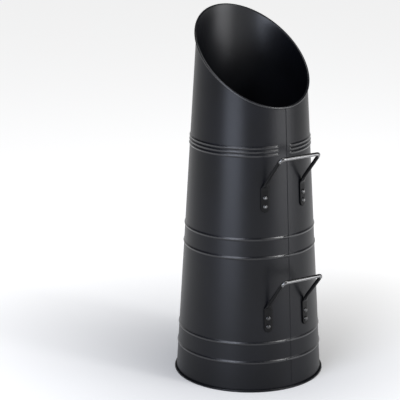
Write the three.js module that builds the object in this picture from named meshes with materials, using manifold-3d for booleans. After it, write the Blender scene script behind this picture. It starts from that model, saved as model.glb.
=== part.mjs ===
// Coal scuttle: a tall tapered bucket of black powder-coated sheet steel with a slanted pouring mouth.
// One sheet is rolled into the shell and locked in a folded seam down the front. Its two edges are curled
// outwards over a steel wire, seven outward beads stiffen it, and a shallow pan closes the bottom.
// Two bent-rod handles with flattened ends are riveted over the seam, each rivet closed on a washer inside.
// Millimetres, +Z up. The origin is the middle of the foot on the floor. The seam and the handles face -Y,
// and the high pouring lip faces +Y.

import * as THREE from 'three';
import { mergeVertices } from 'three/addons/utils/BufferGeometryUtils.js';
import Module from 'manifold-3d';

// ---------------------------------------------------------------------------------------------
// Driving dimensions
// ---------------------------------------------------------------------------------------------
const BASE_RADIUS = 120;        // outside of the wall at the floor
const TAPER = 0.0585;           // radius lost for each millimetre of height
const MOUTH_HEIGHT = 532;       // height of the mouth plane on the axis
const MOUTH_SLOPE = 0.77;       // rise of the mouth plane for each millimetre from the seam to the lip
const SHEET = 0.8;              // sheet thickness of the shell and the pan
const CLEARANCE = 0.3;          // left between pieces that touch

const WIRE_RADIUS = 1.2;        // inside of the curled edges
const CURL_RADIUS = WIRE_RADIUS + SHEET;
const FOOT_FACET = radians(20);  // half the angle of the foot curl's facet that stands on the floor
const FOOT_CURL_HEIGHT = CURL_RADIUS * Math.cos(FOOT_FACET);

const BEAD_HEIGHT = 1.1;        // how far a bead stands out of the wall
const SINGLE_BEAD_WIDTH = 5;
const SINGLE_BEADS = [48.8, 80.5, 221.5, 252];                  // these run round over the seam
const GROUP_BEAD_WIDTH = 4.5;
const GROUP_BEADS = [385.5, 392, 398.5];                        // these stop short of the seam
const SEAM_BULGE = 1.6;         // a single bead stands out this much more where it crosses the fold

// The seam, in distances along the wall from the middle of the front
const FOLD = [-5.6, 4.2];       // left and right edges of the fold, which lies inside
const SEAM_LINE = 3.5;          // the line that it shows outside
const BEAD_STOP = [-10.5, 8.5]; // the grouped beads end here
const BEAD_END = 3;             // length over which they rise
const SEAM_FOLD = 3 * SHEET;    // three more layers of sheet inside the fold
const SEAM_GROOVE = 0.5;        // depth of the line outside
const GROOVE_REACH = 0.7;       // from the line to the edges of its groove
const SEAM_START = 8;           // the fold is notched away below this height
const NOTCH_EDGE = 2;           // height over which the notch ends

const PAN_HEIGHT = 3;           // underside of the pan above the floor
const PAN_FLANGE = 11;          // height of its turned-up flange
const PAN_CORNER = 2.5;         // outer radius between its floor and its flange

const ROD_RADIUS = 3;
const GRIP_HALF_WIDTH = 37;     // from the middle of the front to the rod's corner
const LUG_HALF_WIDTH = 36;      // and to the middle of a lug
const GRIP_STANDOFF = 42;       // from the wall to the middle of the grip, at the grip's height
const GRIP_RISE = 71;           // from the upper rivet to the grip
const GRIP_BEND = 6;            // radius of the rod's middle line in the grip's corners
const ARM_BEND = 12;            // and where the arm leaves the wall
const LUG_WIDTH = 14;           // the rod's flattened ends
const LUG_THICKNESS = 2;
const LUG_BELOW = 9.5;          // from the lower rivet to the lug's end
const LUG_ABOVE = 22;           // from the upper rivet to the bend
const LUG_FLARE = 8;            // length over which the rod widens into the lug
const ARM_LEAD = 3;             // straight rod before the bend

const RIVET_PITCH = 14;
const RIVET_SHANK = 2;          // radii of the shank, its hole, the domed head and the closed end
const RIVET_HOLE = 2.5;
const RIVET_HEAD = 4;
const RIVET_TAIL = 3.2;
const HEAD_HEIGHT = 2.1;
const TAIL_HEIGHT = 1.4;
const WASHER_RADIUS = 4.6;
const WASHER_THICKNESS = 0.8;
const WALL_CHORD = 0.35;        // how far the flat facets of the shell lie inside its true radius

const HANDLES = [               // height of the upper rivets of each handle
  { name: 'upper', rivetHeight: 320 },
  { name: 'lower', rivetHeight: 123.2 },
];

// Columns of the shell near the seam, as distances from the middle of the front
const SEAM_COLUMNS = [
  BEAD_STOP[0] - BEAD_END, BEAD_STOP[0], FOLD[0] - SHEET, FOLD[0],
  SEAM_LINE - GROOVE_REACH, SEAM_LINE, FOLD[1], FOLD[1] + SHEET, BEAD_STOP[1], BEAD_STOP[1] + BEAD_END,
];
const PLAIN_COLUMNS = 40;       // the other columns share the rest of the wall evenly
const COLUMNS = SEAM_COLUMNS.length + PLAIN_COLUMNS;

// ---------------------------------------------------------------------------------------------
// Finishes
// ---------------------------------------------------------------------------------------------
const powderCoat = new THREE.MeshStandardMaterial({ color: '#2a2b2e', roughness: 0.45, metalness: 0.1 });
const coatedRod = new THREE.MeshStandardMaterial({ color: '#1d1d1f', roughness: 0.3, metalness: 0.1 });
const coatedRivet = new THREE.MeshStandardMaterial({ color: '#242427', roughness: 0.28, metalness: 0.2 });
const steelWire = new THREE.MeshStandardMaterial({ color: '#8b8d90', roughness: 0.4, metalness: 1 });

// ---------------------------------------------------------------------------------------------
// Places on the wall
// ---------------------------------------------------------------------------------------------
function radians(degrees) {
  return degrees * Math.PI / 180;
}

function lerp(start, end, share) {
  return start + (end - start) * share;
}

function wallRadius(height) {
  return BASE_RADIUS - TAPER * height;
}

// A point at an angle round the axis, counted from the seam (-Y) towards +X
function around(angle, radius, height) {
  return new THREE.Vector3(radius * Math.sin(angle), -radius * Math.cos(angle), height);
}

// The wall's outward direction, which points slightly up because the wall leans in
function wallNormal(angle) {
  return around(angle, 1, TAPER).normalize();
}

function columnAngle(column, radius) {
  const last = SEAM_COLUMNS.length - 1;
  if (column <= last) return SEAM_COLUMNS[column] / radius;
  const start = SEAM_COLUMNS[last] / radius;
  const end = 2 * Math.PI + SEAM_COLUMNS[0] / radius;
  return start + (end - start) * (column - last) / (PLAIN_COLUMNS + 1);
}

// Distance along the wall from the middle of the front, or Infinity away from the seam
function seamDistance(column) {
  return column < SEAM_COLUMNS.length ? SEAM_COLUMNS[column] : Infinity;
}

function within(distance, [left, right]) {
  return distance >= left && distance <= right;
}

function onFold(column) {
  return within(seamDistance(column), FOLD);
}

// Where the slanted mouth plane cuts the wall
function mouthHeight(angle) {
  const fall = MOUTH_SLOPE * Math.cos(angle);
  return (MOUTH_HEIGHT - fall * BASE_RADIUS) / (1 - fall * TAPER);
}

function mouthPoint(angle) {
  const height = mouthHeight(angle);
  return around(angle, wallRadius(height), height);
}

// ---------------------------------------------------------------------------------------------
// Solids from rings of points
// ---------------------------------------------------------------------------------------------
// Each ring is a closed loop of the same number of points. The rings form a closed circle of their own,
// or they are a bar with a flat cap on each end.
function solidFromRings(rings, closed) {
  const count = rings[0].length;
  const positions = rings.flat().flatMap((point) => point.toArray());
  const index = [];
  const bands = closed ? rings.length : rings.length - 1;
  for (let ring = 0; ring < bands; ring += 1) {
    const next = (ring + 1) % rings.length;
    for (let side = 0; side < count; side += 1) {
      const after = (side + 1) % count;
      const a = ring * count + side;
      const b = ring * count + after;
      const c = next * count + after;
      const d = next * count + side;
      index.push(a, b, c, a, c, d);
    }
  }
  if (!closed) {
    const last = (rings.length - 1) * count;
    for (let side = 1; side < count - 1; side += 1) {
      index.push(0, side + 1, side);
      index.push(last, last + side, last + side + 1);
    }
  }
  const geometry = new THREE.BufferGeometry();
  geometry.setAttribute('position', new THREE.Float32BufferAttribute(positions, 3));
  geometry.setIndex(index);
  return facingOut(geometry);
}

// Turns a solid the right way out, by the sign of its volume
function facingOut(geometry) {
  const position = geometry.getAttribute('position');
  const index = geometry.getIndex();
  const corner = [new THREE.Vector3(), new THREE.Vector3(), new THREE.Vector3()];
  let volume = 0;
  for (let face = 0; face < index.count; face += 3) {
    corner.forEach((point, k) => point.fromBufferAttribute(position, index.getX(face + k)));
    volume += corner[0].dot(corner[1].cross(corner[2]));
  }
  if (volume < 0) {
    for (let face = 0; face < index.count; face += 3) {
      const first = index.getX(face);
      index.setX(face, index.getX(face + 1));
      index.setX(face + 1, first);
    }
  }
  geometry.computeVertexNormals();
  return geometry;
}

// ---------------------------------------------------------------------------------------------
// Cutting holes
// ---------------------------------------------------------------------------------------------
const wasm = await Module();
wasm.setup();

function toManifold(geometry) {
  const bare = geometry.clone();
  bare.deleteAttribute('normal');
  bare.deleteAttribute('uv');
  const merged = mergeVertices(bare, 1e-4);
  const vertProperties = new Float32Array(merged.getAttribute('position').array);
  const triVerts = new Uint32Array(merged.getIndex().array);
  return new wasm.Manifold(new wasm.Mesh({ numProp: 3, vertProperties, triVerts }));
}

function cutAway(geometry, tools) {
  const solid = tools.reduce((rest, tool) => rest.subtract(toManifold(tool)), toManifold(geometry));
  const mesh = solid.getMesh();
  const cut = new THREE.BufferGeometry();
  cut.setAttribute('position', new THREE.Float32BufferAttribute(mesh.vertProperties, 3));
  cut.setIndex(Array.from(mesh.triVerts));
  cut.computeVertexNormals();
  return cut;
}

// ---------------------------------------------------------------------------------------------
// Rivet places: four on each handle, square to the wall
// ---------------------------------------------------------------------------------------------
function rivetPlaces(handle) {
  const places = [];
  for (const side of ['left', 'right']) {
    for (const row of ['top', 'bottom']) {
      const height = handle.rivetHeight - (row === 'bottom' ? RIVET_PITCH : 0);
      const angle = lugAngle(handle) * (side === 'left' ? -1 : 1);
      const position = around(angle, wallRadius(height), height);
      const quaternion = new THREE.Quaternion()
        .setFromUnitVectors(new THREE.Vector3(0, 0, 1), wallNormal(angle));
      places.push({ name: `${side}_${row}`, position, quaternion });
    }
  }
  return places;
}

// The lugs follow the wall's slope, so all of one lug is at one angle from the seam
function lugAngle(handle) {
  return Math.asin(LUG_HALF_WIDTH / wallRadius(handle.rivetHeight - RIVET_PITCH / 2));
}

const HOLE_LENGTH = 16;         // of the cutting tool, more than the wall and the lug together
const HOLE_SIDES = 10;

// A hole through the wall and the lug
function rivetHole(place) {
  const hole = new THREE.CylinderGeometry(RIVET_HOLE, RIVET_HOLE, HOLE_LENGTH, HOLE_SIDES);
  hole.rotateX(Math.PI / 2);
  hole.applyQuaternion(place.quaternion);
  hole.translate(...place.position.toArray());
  return hole;
}

// ---------------------------------------------------------------------------------------------
// Shell: one sheet, followed from the end of the foot curl to the end of the rim curl
// ---------------------------------------------------------------------------------------------
const FOOT_TURNS = [465, 410, 370, 330, 290, 250, 210, 180].map(radians);   // from the end to the wall
const RIM_TURNS = [180, 140, 100, 60, 20, -20, -60, -105].map(radians);     // from the wall to the end

// A bead's section, as shares of its width from its middle and of its height: flat-topped, or a ridge
const FLAT_BEAD = [[-0.5, 0], [-0.16, 1], [0.16, 1], [0.5, 0]];
const RIDGE_BEAD = [[-0.5, 0], [0, 1], [0.5, 0]];

// Above the beads each level is a share of the way up to the mouth, so the levels tilt gradually
const UPPER_LEVELS = [0.5, 0.93];

// Heights on the straight wall, with how far the bead stands out there
function wallStations() {
  const stations = [{ height: SEAM_START - NOTCH_EDGE }, { height: SEAM_START }];
  for (const middle of SINGLE_BEADS) {
    for (const [reach, share] of FLAT_BEAD) {
      stations.push({ height: middle + reach * SINGLE_BEAD_WIDTH, bead: share * BEAD_HEIGHT });
    }
  }
  for (const middle of GROUP_BEADS) {
    for (const [reach, share] of RIDGE_BEAD) {
      stations.push({ height: middle + reach * GROUP_BEAD_WIDTH, bead: share * BEAD_HEIGHT, stops: true });
    }
  }
  return [...stations, ...UPPER_LEVELS.map((share) => ({ share }))];
}

function beadReach(station, column) {
  if (!station.bead) return 0;
  if (station.stops) return within(seamDistance(column), BEAD_STOP) ? 0 : station.bead;
  return onFold(column) && seamDistance(column) < SEAM_LINE ? station.bead * SEAM_BULGE : station.bead;
}

// One level of the straight wall in one column: the points outside and inside
function wallPair(station, column) {
  let height = station.height;
  if (station.share) {
    const bottom = GROUP_BEADS.at(-1) + GROUP_BEAD_WIDTH / 2;
    const top = mouthHeight(columnAngle(column, wallRadius(MOUTH_HEIGHT)));
    height = bottom + station.share * (top - bottom);
  }
  const angle = columnAngle(column, wallRadius(height));
  const folded = onFold(column) && !(height < SEAM_START);
  const groove = seamDistance(column) === SEAM_LINE && folded ? SEAM_GROOVE : 0;
  const reach = wallRadius(height) + beadReach(station, column);
  return {
    outside: around(angle, reach - groove, height),
    inside: around(angle, reach - SHEET - (folded ? SEAM_FOLD : 0), height),
  };
}

// A curl turns outwards about its wire: the wall's outer face lies on the wire
function curlPair(centre, out, up, turn) {
  const at = (radius) => centre.clone()
    .addScaledVector(out, radius * Math.cos(turn))
    .addScaledVector(up, radius * Math.sin(turn));
  return { outside: at(WIRE_RADIUS), inside: at(CURL_RADIUS) };
}

function footCurl(column) {
  const angle = columnAngle(column, BASE_RADIUS);
  const out = around(angle, 1, 0);
  const centre = around(angle, wallRadius(FOOT_CURL_HEIGHT) + WIRE_RADIUS, FOOT_CURL_HEIGHT);
  return { centre, out, up: new THREE.Vector3(0, 0, 1) };
}

// The rim curl stands square to the slanted edge, so it is as thick all the way round
function rimCurl(column) {
  const angle = columnAngle(column, wallRadius(MOUTH_HEIGHT));
  const out = wallNormal(angle);
  const nearby = radians(0.5);
  const along = mouthPoint(angle + nearby).sub(mouthPoint(angle - nearby)).normalize();
  const up = along.clone().cross(out).multiplyScalar(-1).normalize();
  const centre = mouthPoint(angle).addScaledVector(out, WIRE_RADIUS);
  return { centre, out, up };
}

function shellGeometry() {
  const stations = wallStations();
  const rings = [];
  for (let column = 0; column < COLUMNS; column += 1) {
    const foot = footCurl(column);
    const rim = rimCurl(column);
    const pairs = [
      ...FOOT_TURNS.map((turn) => curlPair(foot.centre, foot.out, foot.up, turn)),
      ...stations.map((station) => wallPair(station, column)),
      ...RIM_TURNS.map((turn) => curlPair(rim.centre, rim.out, rim.up, turn)),
    ];
    const outside = pairs.map((pair) => pair.outside);
    const inside = pairs.map((pair) => pair.inside).reverse();
    rings.push([...outside, ...inside]);
  }
  const holes = HANDLES.flatMap(rivetPlaces).map(rivetHole);
  return cutAway(solidFromRings(rings, true), holes);
}

// ---------------------------------------------------------------------------------------------
// Wires inside the two curled edges
// ---------------------------------------------------------------------------------------------
const WIRE_SIDES = 5;

function wireGeometry(curlAt) {
  const rings = [];
  for (let column = 0; column < COLUMNS; column += 1) {
    const { centre, out, up } = curlAt(column);
    const ring = [];
    for (let side = 0; side < WIRE_SIDES; side += 1) {
      const turn = 2 * Math.PI * side / WIRE_SIDES;
      ring.push(centre.clone()
        .addScaledVector(out, (WIRE_RADIUS - CLEARANCE) * Math.cos(turn))
        .addScaledVector(up, (WIRE_RADIUS - CLEARANCE) * Math.sin(turn)));
    }
    rings.push(ring);
  }
  return solidFromRings(rings, true);
}

// ---------------------------------------------------------------------------------------------
// Bottom pan: a shallow dish whose flange is stepped round the seam fold
// ---------------------------------------------------------------------------------------------
function panGeometry() {
  const top = PAN_HEIGHT + PAN_FLANGE;
  const clearance = SHEET + CLEARANCE;
  // Distance in from the outside of the wall, and height, from the middle out and back along the inside
  const corner = (turn, radius) => [
    clearance + PAN_CORNER - radius * Math.sin(turn),
    PAN_HEIGHT + PAN_CORNER - radius * Math.cos(turn),
  ];
  const turns = [0, 45, 90].map(radians);
  const section = [
    ...turns.map((turn) => corner(turn, PAN_CORNER)),
    [clearance, top],
    [clearance + SHEET, top],
    ...turns.reverse().map((turn) => corner(turn, PAN_CORNER - SHEET)),
  ];
  const rings = section.map(([inset, height]) => {
    const ring = [];
    for (let column = 0; column < COLUMNS; column += 1) {
      const radius = wallRadius(height) - inset - (onFold(column) ? SEAM_FOLD + CLEARANCE : 0);
      ring.push(around(columnAngle(column, BASE_RADIUS), radius, height));
    }
    return ring;
  });
  return solidFromRings(rings, false);
}

// ---------------------------------------------------------------------------------------------
// Handles: a rod bent into a bracket, its ends flattened into lugs that lie on the wall
// ---------------------------------------------------------------------------------------------
const ROD_SIDES = 10;
const BEND_STEPS = 4;
const FLAT_LENGTH = LUG_BELOW + RIVET_PITCH + LUG_ABOVE - LUG_FLARE;

// Rings of the rod: distances along the flat lug from its round end, and shares of the flare above it
const FLAT_RINGS = [0.6, 2, 4, LUG_WIDTH / 2, 20, FLAT_LENGTH];
const FLARE_RINGS = [0.35, 0.65];

// Straight runs joined by arcs of the given radii
function bentLine(corners, radii) {
  const points = [corners[0].clone()];
  for (let k = 1; k < corners.length - 1; k += 1) {
    const back = corners[k - 1].clone().sub(corners[k]).normalize();
    const ahead = corners[k + 1].clone().sub(corners[k]).normalize();
    const half = back.angleTo(ahead) / 2;
    const bisector = back.clone().add(ahead).normalize();
    const centre = corners[k].clone().addScaledVector(bisector, radii[k] / Math.sin(half));
    const reach = radii[k] / Math.tan(half);
    const start = corners[k].clone().addScaledVector(back, reach).sub(centre);
    const end = corners[k].clone().addScaledVector(ahead, reach).sub(centre);
    const axis = start.clone().cross(end).normalize();
    const sweep = start.angleTo(end);
    for (let step = 0; step <= BEND_STEPS; step += 1) {
      points.push(start.clone().applyAxisAngle(axis, sweep * step / BEND_STEPS).add(centre));
    }
  }
  points.push(corners.at(-1).clone());
  return points;
}

// Half width and half thickness of the rod at a distance from the lug's end
function rodSection(distance) {
  const halfLug = LUG_WIDTH / 2;
  const halfThickness = LUG_THICKNESS / 2;
  if (distance < halfLug) {
    const inwards = 1 - distance / halfLug;
    return [halfLug * Math.sqrt(1 - inwards * inwards), halfThickness];
  }
  const round = THREE.MathUtils.smoothstep(distance, FLAT_LENGTH, FLAT_LENGTH + LUG_FLARE);
  return [lerp(halfLug, ROD_RADIUS, round), lerp(halfThickness, ROD_RADIUS, round)];
}

function handleGeometry(handle) {
  const angle = -lugAngle(handle);
  const onWall = (height, standoff) => around(angle, wallRadius(height), height)
    .addScaledVector(wallNormal(angle), CLEARANCE + standoff);
  const lugEnd = handle.rivetHeight - RIVET_PITCH - LUG_BELOW;
  const bend = handle.rivetHeight + LUG_ABOVE;
  const grip = handle.rivetHeight + GRIP_RISE;
  const gripOut = wallRadius(grip) + GRIP_STANDOFF;

  // The left half of the rod, from the end of its lug to the middle of the grip
  const flat = FLAT_RINGS.map((distance) => onWall(lugEnd + distance, LUG_THICKNESS / 2));
  const flare = FLARE_RINGS.map((share) => (
    onWall(bend - LUG_FLARE * (1 - share), lerp(LUG_THICKNESS / 2, ROD_RADIUS, share))));
  const arm = bentLine([
    onWall(bend - ARM_LEAD, ROD_RADIUS),
    onWall(bend, ROD_RADIUS),
    new THREE.Vector3(-GRIP_HALF_WIDTH, -gripOut, grip),
    new THREE.Vector3(0, -gripOut, grip),
  ], [0, ARM_BEND, GRIP_BEND, 0]);
  const middles = [...flat, ...flare, ...arm.slice(1)];

  // Each ring is carried on from the one before it without twist, starting flat on the wall
  let across = new THREE.Vector3(Math.cos(angle), Math.sin(angle), 0);
  const rings = [];
  middles.forEach((middle, k) => {
    const before = middles[Math.max(k - 1, 0)];
    const after = middles[Math.min(k + 1, middles.length - 1)];
    const atMiddle = k === middles.length - 1;
    const along = atMiddle ? new THREE.Vector3(1, 0, 0) : after.clone().sub(before).normalize();
    across = across.clone().addScaledVector(along, -across.dot(along)).normalize();
    const out = across.clone().cross(along);
    const [halfWidth, halfThickness] = rodSection(middle.z - lugEnd);
    const ring = [];
    for (let side = 0; side < ROD_SIDES; side += 1) {
      const turn = 2 * Math.PI * (side + 0.5) / ROD_SIDES;
      ring.push(middle.clone()
        .addScaledVector(across, halfWidth * Math.cos(turn) / Math.cos(Math.PI / ROD_SIDES))
        .addScaledVector(out, halfThickness * Math.sin(turn)));
    }
    rings.push(ring);
  });
  const mirrored = rings.slice(0, -1).reverse()
    .map((ring) => ring.map((point) => point.clone().setX(-point.x)));
  const solid = solidFromRings([...rings, ...mirrored], false);
  return cutAway(solid, rivetPlaces(handle).map(rivetHole));
}

// ---------------------------------------------------------------------------------------------
// Rivets and washers, made on the Z axis with the outside of the wall at zero
// ---------------------------------------------------------------------------------------------
const HEAD_SEAT = 2 * CLEARANCE + LUG_THICKNESS;
const WASHER_SEAT = -(SHEET + WALL_CHORD + CLEARANCE);
const TAIL_SEAT = WASHER_SEAT - WASHER_THICKNESS - CLEARANCE;
const FASTENER_SIDES = 8;
const HEAD_STEPS = 3;
const TAIL_STEPS = 2;

function lathe(points, segments) {
  const geometry = new THREE.LatheGeometry(points.map(([x, y]) => new THREE.Vector2(x, y)), segments);
  geometry.rotateX(Math.PI / 2);
  geometry.deleteAttribute('normal');
  geometry.deleteAttribute('uv');
  return facingOut(mergeVertices(geometry, 1e-4));
}

// A dome's profile from its edge to its top, at a height on the axis; a negative one hangs down
function dome(radius, height, seat, steps) {
  const points = [];
  for (let step = 0; step < steps; step += 1) {
    const turn = step / steps * Math.PI / 2;
    points.push([radius * Math.cos(turn), seat + height * Math.sin(turn)]);
  }
  return [...points, [0, seat + height]];
}

function rivetGeometry() {
  const profile = [
    ...dome(RIVET_TAIL, -TAIL_HEIGHT, TAIL_SEAT, TAIL_STEPS).reverse(),
    [RIVET_SHANK, TAIL_SEAT],
    [RIVET_SHANK, HEAD_SEAT],
    ...dome(RIVET_HEAD, HEAD_HEIGHT, HEAD_SEAT, HEAD_STEPS),
  ];
  return lathe(profile, FASTENER_SIDES);
}

function washerGeometry() {
  const profile = [
    [RIVET_HOLE, WASHER_SEAT - WASHER_THICKNESS],
    [WASHER_RADIUS, WASHER_SEAT - WASHER_THICKNESS],
    [WASHER_RADIUS, WASHER_SEAT],
    [RIVET_HOLE, WASHER_SEAT],
    [RIVET_HOLE, WASHER_SEAT - WASHER_THICKNESS],
  ];
  return lathe(profile, FASTENER_SIDES);
}

// ---------------------------------------------------------------------------------------------
// Assembly
// ---------------------------------------------------------------------------------------------
const scuttle = new THREE.Group();

function addPiece(parent, name, geometry, material) {
  const mesh = new THREE.Mesh(geometry, material);
  mesh.name = name;
  parent.add(mesh);
  return mesh;
}

addPiece(scuttle, 'body_shell', shellGeometry(), powderCoat);
addPiece(scuttle, 'base_pan', panGeometry(), powderCoat);
addPiece(scuttle, 'rim_wire', wireGeometry(rimCurl), steelWire);
addPiece(scuttle, 'foot_wire', wireGeometry(footCurl), steelWire);

const rivet = rivetGeometry();
const washer = washerGeometry();
for (const handle of HANDLES) {
  const group = new THREE.Group();
  scuttle.add(group);
  addPiece(group, `${handle.name}_handle`, handleGeometry(handle), coatedRod);
  for (const place of rivetPlaces(handle)) {
    for (const [kind, geometry] of [['rivet', rivet], ['washer', washer]]) {
      const piece = addPiece(group, `${handle.name}_${kind}_${place.name}`, geometry, coatedRivet);
      piece.quaternion.copy(place.quaternion);
      piece.position.copy(place.position);
    }
  }
}

export default scuttle;
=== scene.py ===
"""Coal scuttle: the finished look of a tall tapered bucket in black powder-coated sheet steel.

One sheet is rolled into the shell, locked in a folded seam down the front and curled over a wire at
the foot and round the slanted pouring mouth. Beads are pressed into it, a pan is spot-welded into the
bottom, and two bent-rod handles are riveted over the seam, each rivet closed on a washer inside.

Metres, +Z up. The origin is the middle of the foot on the floor. The seam and the handles face -Y, and
the high pouring lip faces +Y.
"""

import math
from functools import partial

import bpy
from bpy.props import FloatProperty, FloatVectorProperty, PointerProperty
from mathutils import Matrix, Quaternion, Vector


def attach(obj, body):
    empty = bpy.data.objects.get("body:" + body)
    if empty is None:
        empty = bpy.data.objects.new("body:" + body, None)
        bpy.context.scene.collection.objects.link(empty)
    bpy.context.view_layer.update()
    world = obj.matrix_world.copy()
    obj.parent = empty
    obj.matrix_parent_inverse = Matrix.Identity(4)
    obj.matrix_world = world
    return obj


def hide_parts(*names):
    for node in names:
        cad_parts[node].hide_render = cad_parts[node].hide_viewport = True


bl_info = {
    "name": "Coal Scuttle",
    "version": (1, 0, 0),
    "blender": (4, 5, 0),
    "location": "3D View > Sidebar > Scuttle",
    "description": "Makes a coal scuttle of powder-coated sheet steel, piece by piece, around its frame",
    "category": "Add Mesh",
}

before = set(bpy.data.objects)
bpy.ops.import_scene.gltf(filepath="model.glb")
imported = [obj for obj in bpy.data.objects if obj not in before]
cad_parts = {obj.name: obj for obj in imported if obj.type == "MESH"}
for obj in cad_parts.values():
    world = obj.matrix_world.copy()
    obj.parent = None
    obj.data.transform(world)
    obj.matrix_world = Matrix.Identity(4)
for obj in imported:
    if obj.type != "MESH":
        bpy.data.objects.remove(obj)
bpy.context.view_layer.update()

BODY = "root"
MM = 0.001

# Heights of the beads pressed into the wall. The single ones run round over the seam, and the group of
# three stops short of it.
SINGLE_BEADS = {f"Single bead {k + 1}": height * MM for k, height in enumerate((49.2, 80.9, 221.9, 252.4))}
GROUP_BEADS = {f"Group bead {k + 1}": height * MM for k, height in enumerate((387, 393.1, 399.2))}
SPOT_WELDS = 4

# Distances along the wall from the middle of the front, + towards +X
FOLD = (-5.6 * MM, 4.2 * MM)        # edges of the seam's fold, which shows inside
SEAM_LINE = 3.5 * MM                # the line that it shows outside
BEAD_STOP = (-10.5 * MM, 8.5 * MM)  # the grouped beads end here
SEAM_ZONE = (-15 * MM, 13 * MM)     # the columns stand close together here

# Heights of the upper rivets of each handle, the side of each lug, and the rivets of a lug from the top
HANDLES = {"upper": 320 * MM, "lower": 123.2 * MM}
SIDES = {"left": -1, "right": 1}
ROWS = {"top": 0, "bottom": -1}


# ---- Sizes and colours that a user may change ----
def linear(hex_colour):
    """An sRGB hex colour as the linear values that a shader takes."""
    parts = [int(hex_colour[k:k + 2], 16) / 255 for k in (1, 3, 5)]
    return [c / 12.92 if c <= 0.04045 else ((c + 0.055) / 1.055) ** 2.4 for c in parts]


def length(name, description, default):
    """A property that holds a length in metres."""
    return FloatProperty(name=name, description=description, default=default, min=0.0, precision=5,
                         unit="LENGTH", subtype="DISTANCE")


def angle(name, description, degrees):
    """A property that holds an angle."""
    return FloatProperty(name=name, description=description, default=math.radians(degrees),
                         unit="ROTATION", subtype="ANGLE")


def fraction(name, description, default):
    """A property that holds a number from 0 to 1."""
    return FloatProperty(name=name, description=description, default=default, min=0.0, max=1.0,
                         subtype="FACTOR")


def colour(name, description, hex_colour):
    """A property that holds a colour, given as sRGB hex."""
    return FloatVectorProperty(name=name, description=description, default=linear(hex_colour),
                               min=0.0, max=1.0, subtype="COLOR", size=3)


class ShellSizes(bpy.types.PropertyGroup):
    """Sizes of the rolled sheet."""
    foot_radius: length("Foot radius", "Outside of the wall at the floor", 120 * MM)
    taper: FloatProperty(name="Taper", description="Radius lost for each metre of height", default=0.0585)
    mouth_height: length("Mouth height", "Height of the mouth plane on the axis", 532 * MM)
    mouth_slope: FloatProperty(name="Mouth slope", default=0.77,
                               description="Rise of the mouth plane for each metre from the seam to the lip")
    sheet: length("Sheet", "Thickness of the sheet steel", 0.8 * MM)
    curl_hollow: length("Curl hollow", "Inner radius of the curled edges", 1.2 * MM)
    bead_reach: length("Bead reach", "How far a bead stands out of the wall", 1.3 * MM)
    single_bead_width: length("Single bead width", "Width of a bead that stands alone", 6.4 * MM)
    group_bead_width: length("Group bead width", "Width of a bead in the group of three", 6.1 * MM)
    seam_bulge: FloatProperty(name="Seam bulge", default=1.6, min=1.0,
                              description="How much more a single bead stands out over the seam's fold")
    fold_depth: length("Fold depth", "The layers of sheet inside the seam's fold", 2.4 * MM)
    fold_start: length("Fold start", "The fold is notched away below this height", 8 * MM)
    groove_depth: length("Groove depth", "Depth of the line that the fold shows outside", 0.5 * MM)
    weld_height: length("Weld height", "Height of the spot welds that hold the pan", 8.5 * MM)
    weld_radius: length("Weld radius", "Radius of a spot weld's mark", 2.6 * MM)
    weld_depth: length("Weld depth", "Depth of a spot weld's mark", 0.3 * MM)
    weld_turn: angle("Weld turn", "Angle of one spot weld from the middle of the front", -24)


class PanSizes(bpy.types.PropertyGroup):
    """Sizes of the shallow pan that closes the bottom."""
    height: length("Height", "Underside of the pan above the floor", 3 * MM)
    flange: length("Flange", "Height of the turned-up flange", 11 * MM)
    corner: length("Corner", "Outer radius between the floor and the flange", 2.5 * MM)
    clearance: length("Clearance", "Gap between pieces that touch", 0.3 * MM)


class HandleSizes(bpy.types.PropertyGroup):
    """Sizes of the bent-rod handles."""
    rod_radius: length("Rod radius", "Radius of the round rod", 3 * MM)
    grip_half_width: length("Grip half width", "From the middle of the front to the rod's corner", 37 * MM)
    lug_half_width: length("Lug half width", "From the middle of the front to the middle of a lug", 36 * MM)
    grip_standoff: length("Grip standoff", "From the wall to the middle of the grip", 42 * MM)
    grip_rise: length("Grip rise", "From the upper rivet up to the grip", 71 * MM)
    grip_bend: length("Grip bend", "Radius of the rod's middle line in the grip's corners", 6 * MM)
    arm_bend: length("Arm bend", "Radius where the arm leaves the wall", 12 * MM)
    lug_width: length("Lug width", "Width of the flattened ends", 14 * MM)
    lug_thickness: length("Lug thickness", "Thickness of the flattened ends", 2 * MM)
    lug_below: length("Lug below", "From the lower rivet to the lug's end", 9.5 * MM)
    lug_above: length("Lug above", "From the upper rivet to the bend", 22 * MM)
    lug_flare: length("Lug flare", "Length over which the rod widens into the lug", 8 * MM)


class FastenerSizes(bpy.types.PropertyGroup):
    """Sizes of the rivets and their washers."""
    pitch: length("Pitch", "From the upper rivet of a lug to the lower one", 14 * MM)
    shank_radius: length("Shank radius", "Radius of the rivet's shank", 2 * MM)
    head_radius: length("Head radius", "Radius of the domed head", 4 * MM)
    head_height: length("Head height", "Height of the domed head", 2.1 * MM)
    tail_radius: length("Tail radius", "Radius of the closed end", 3.2 * MM)
    tail_height: length("Tail height", "Height of the closed end", 1.4 * MM)
    washer_radius: length("Washer radius", "Outer radius of the washer", 4.6 * MM)
    washer_gap: length("Washer gap", "Gap between the shank and the washer", 0.5 * MM)
    washer_thickness: length("Washer thickness", "Thickness of the washer", 0.8 * MM)
    wall_chord: length("Wall chord", "Room left for the facets of the frame's wall", 0.35 * MM)


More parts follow.
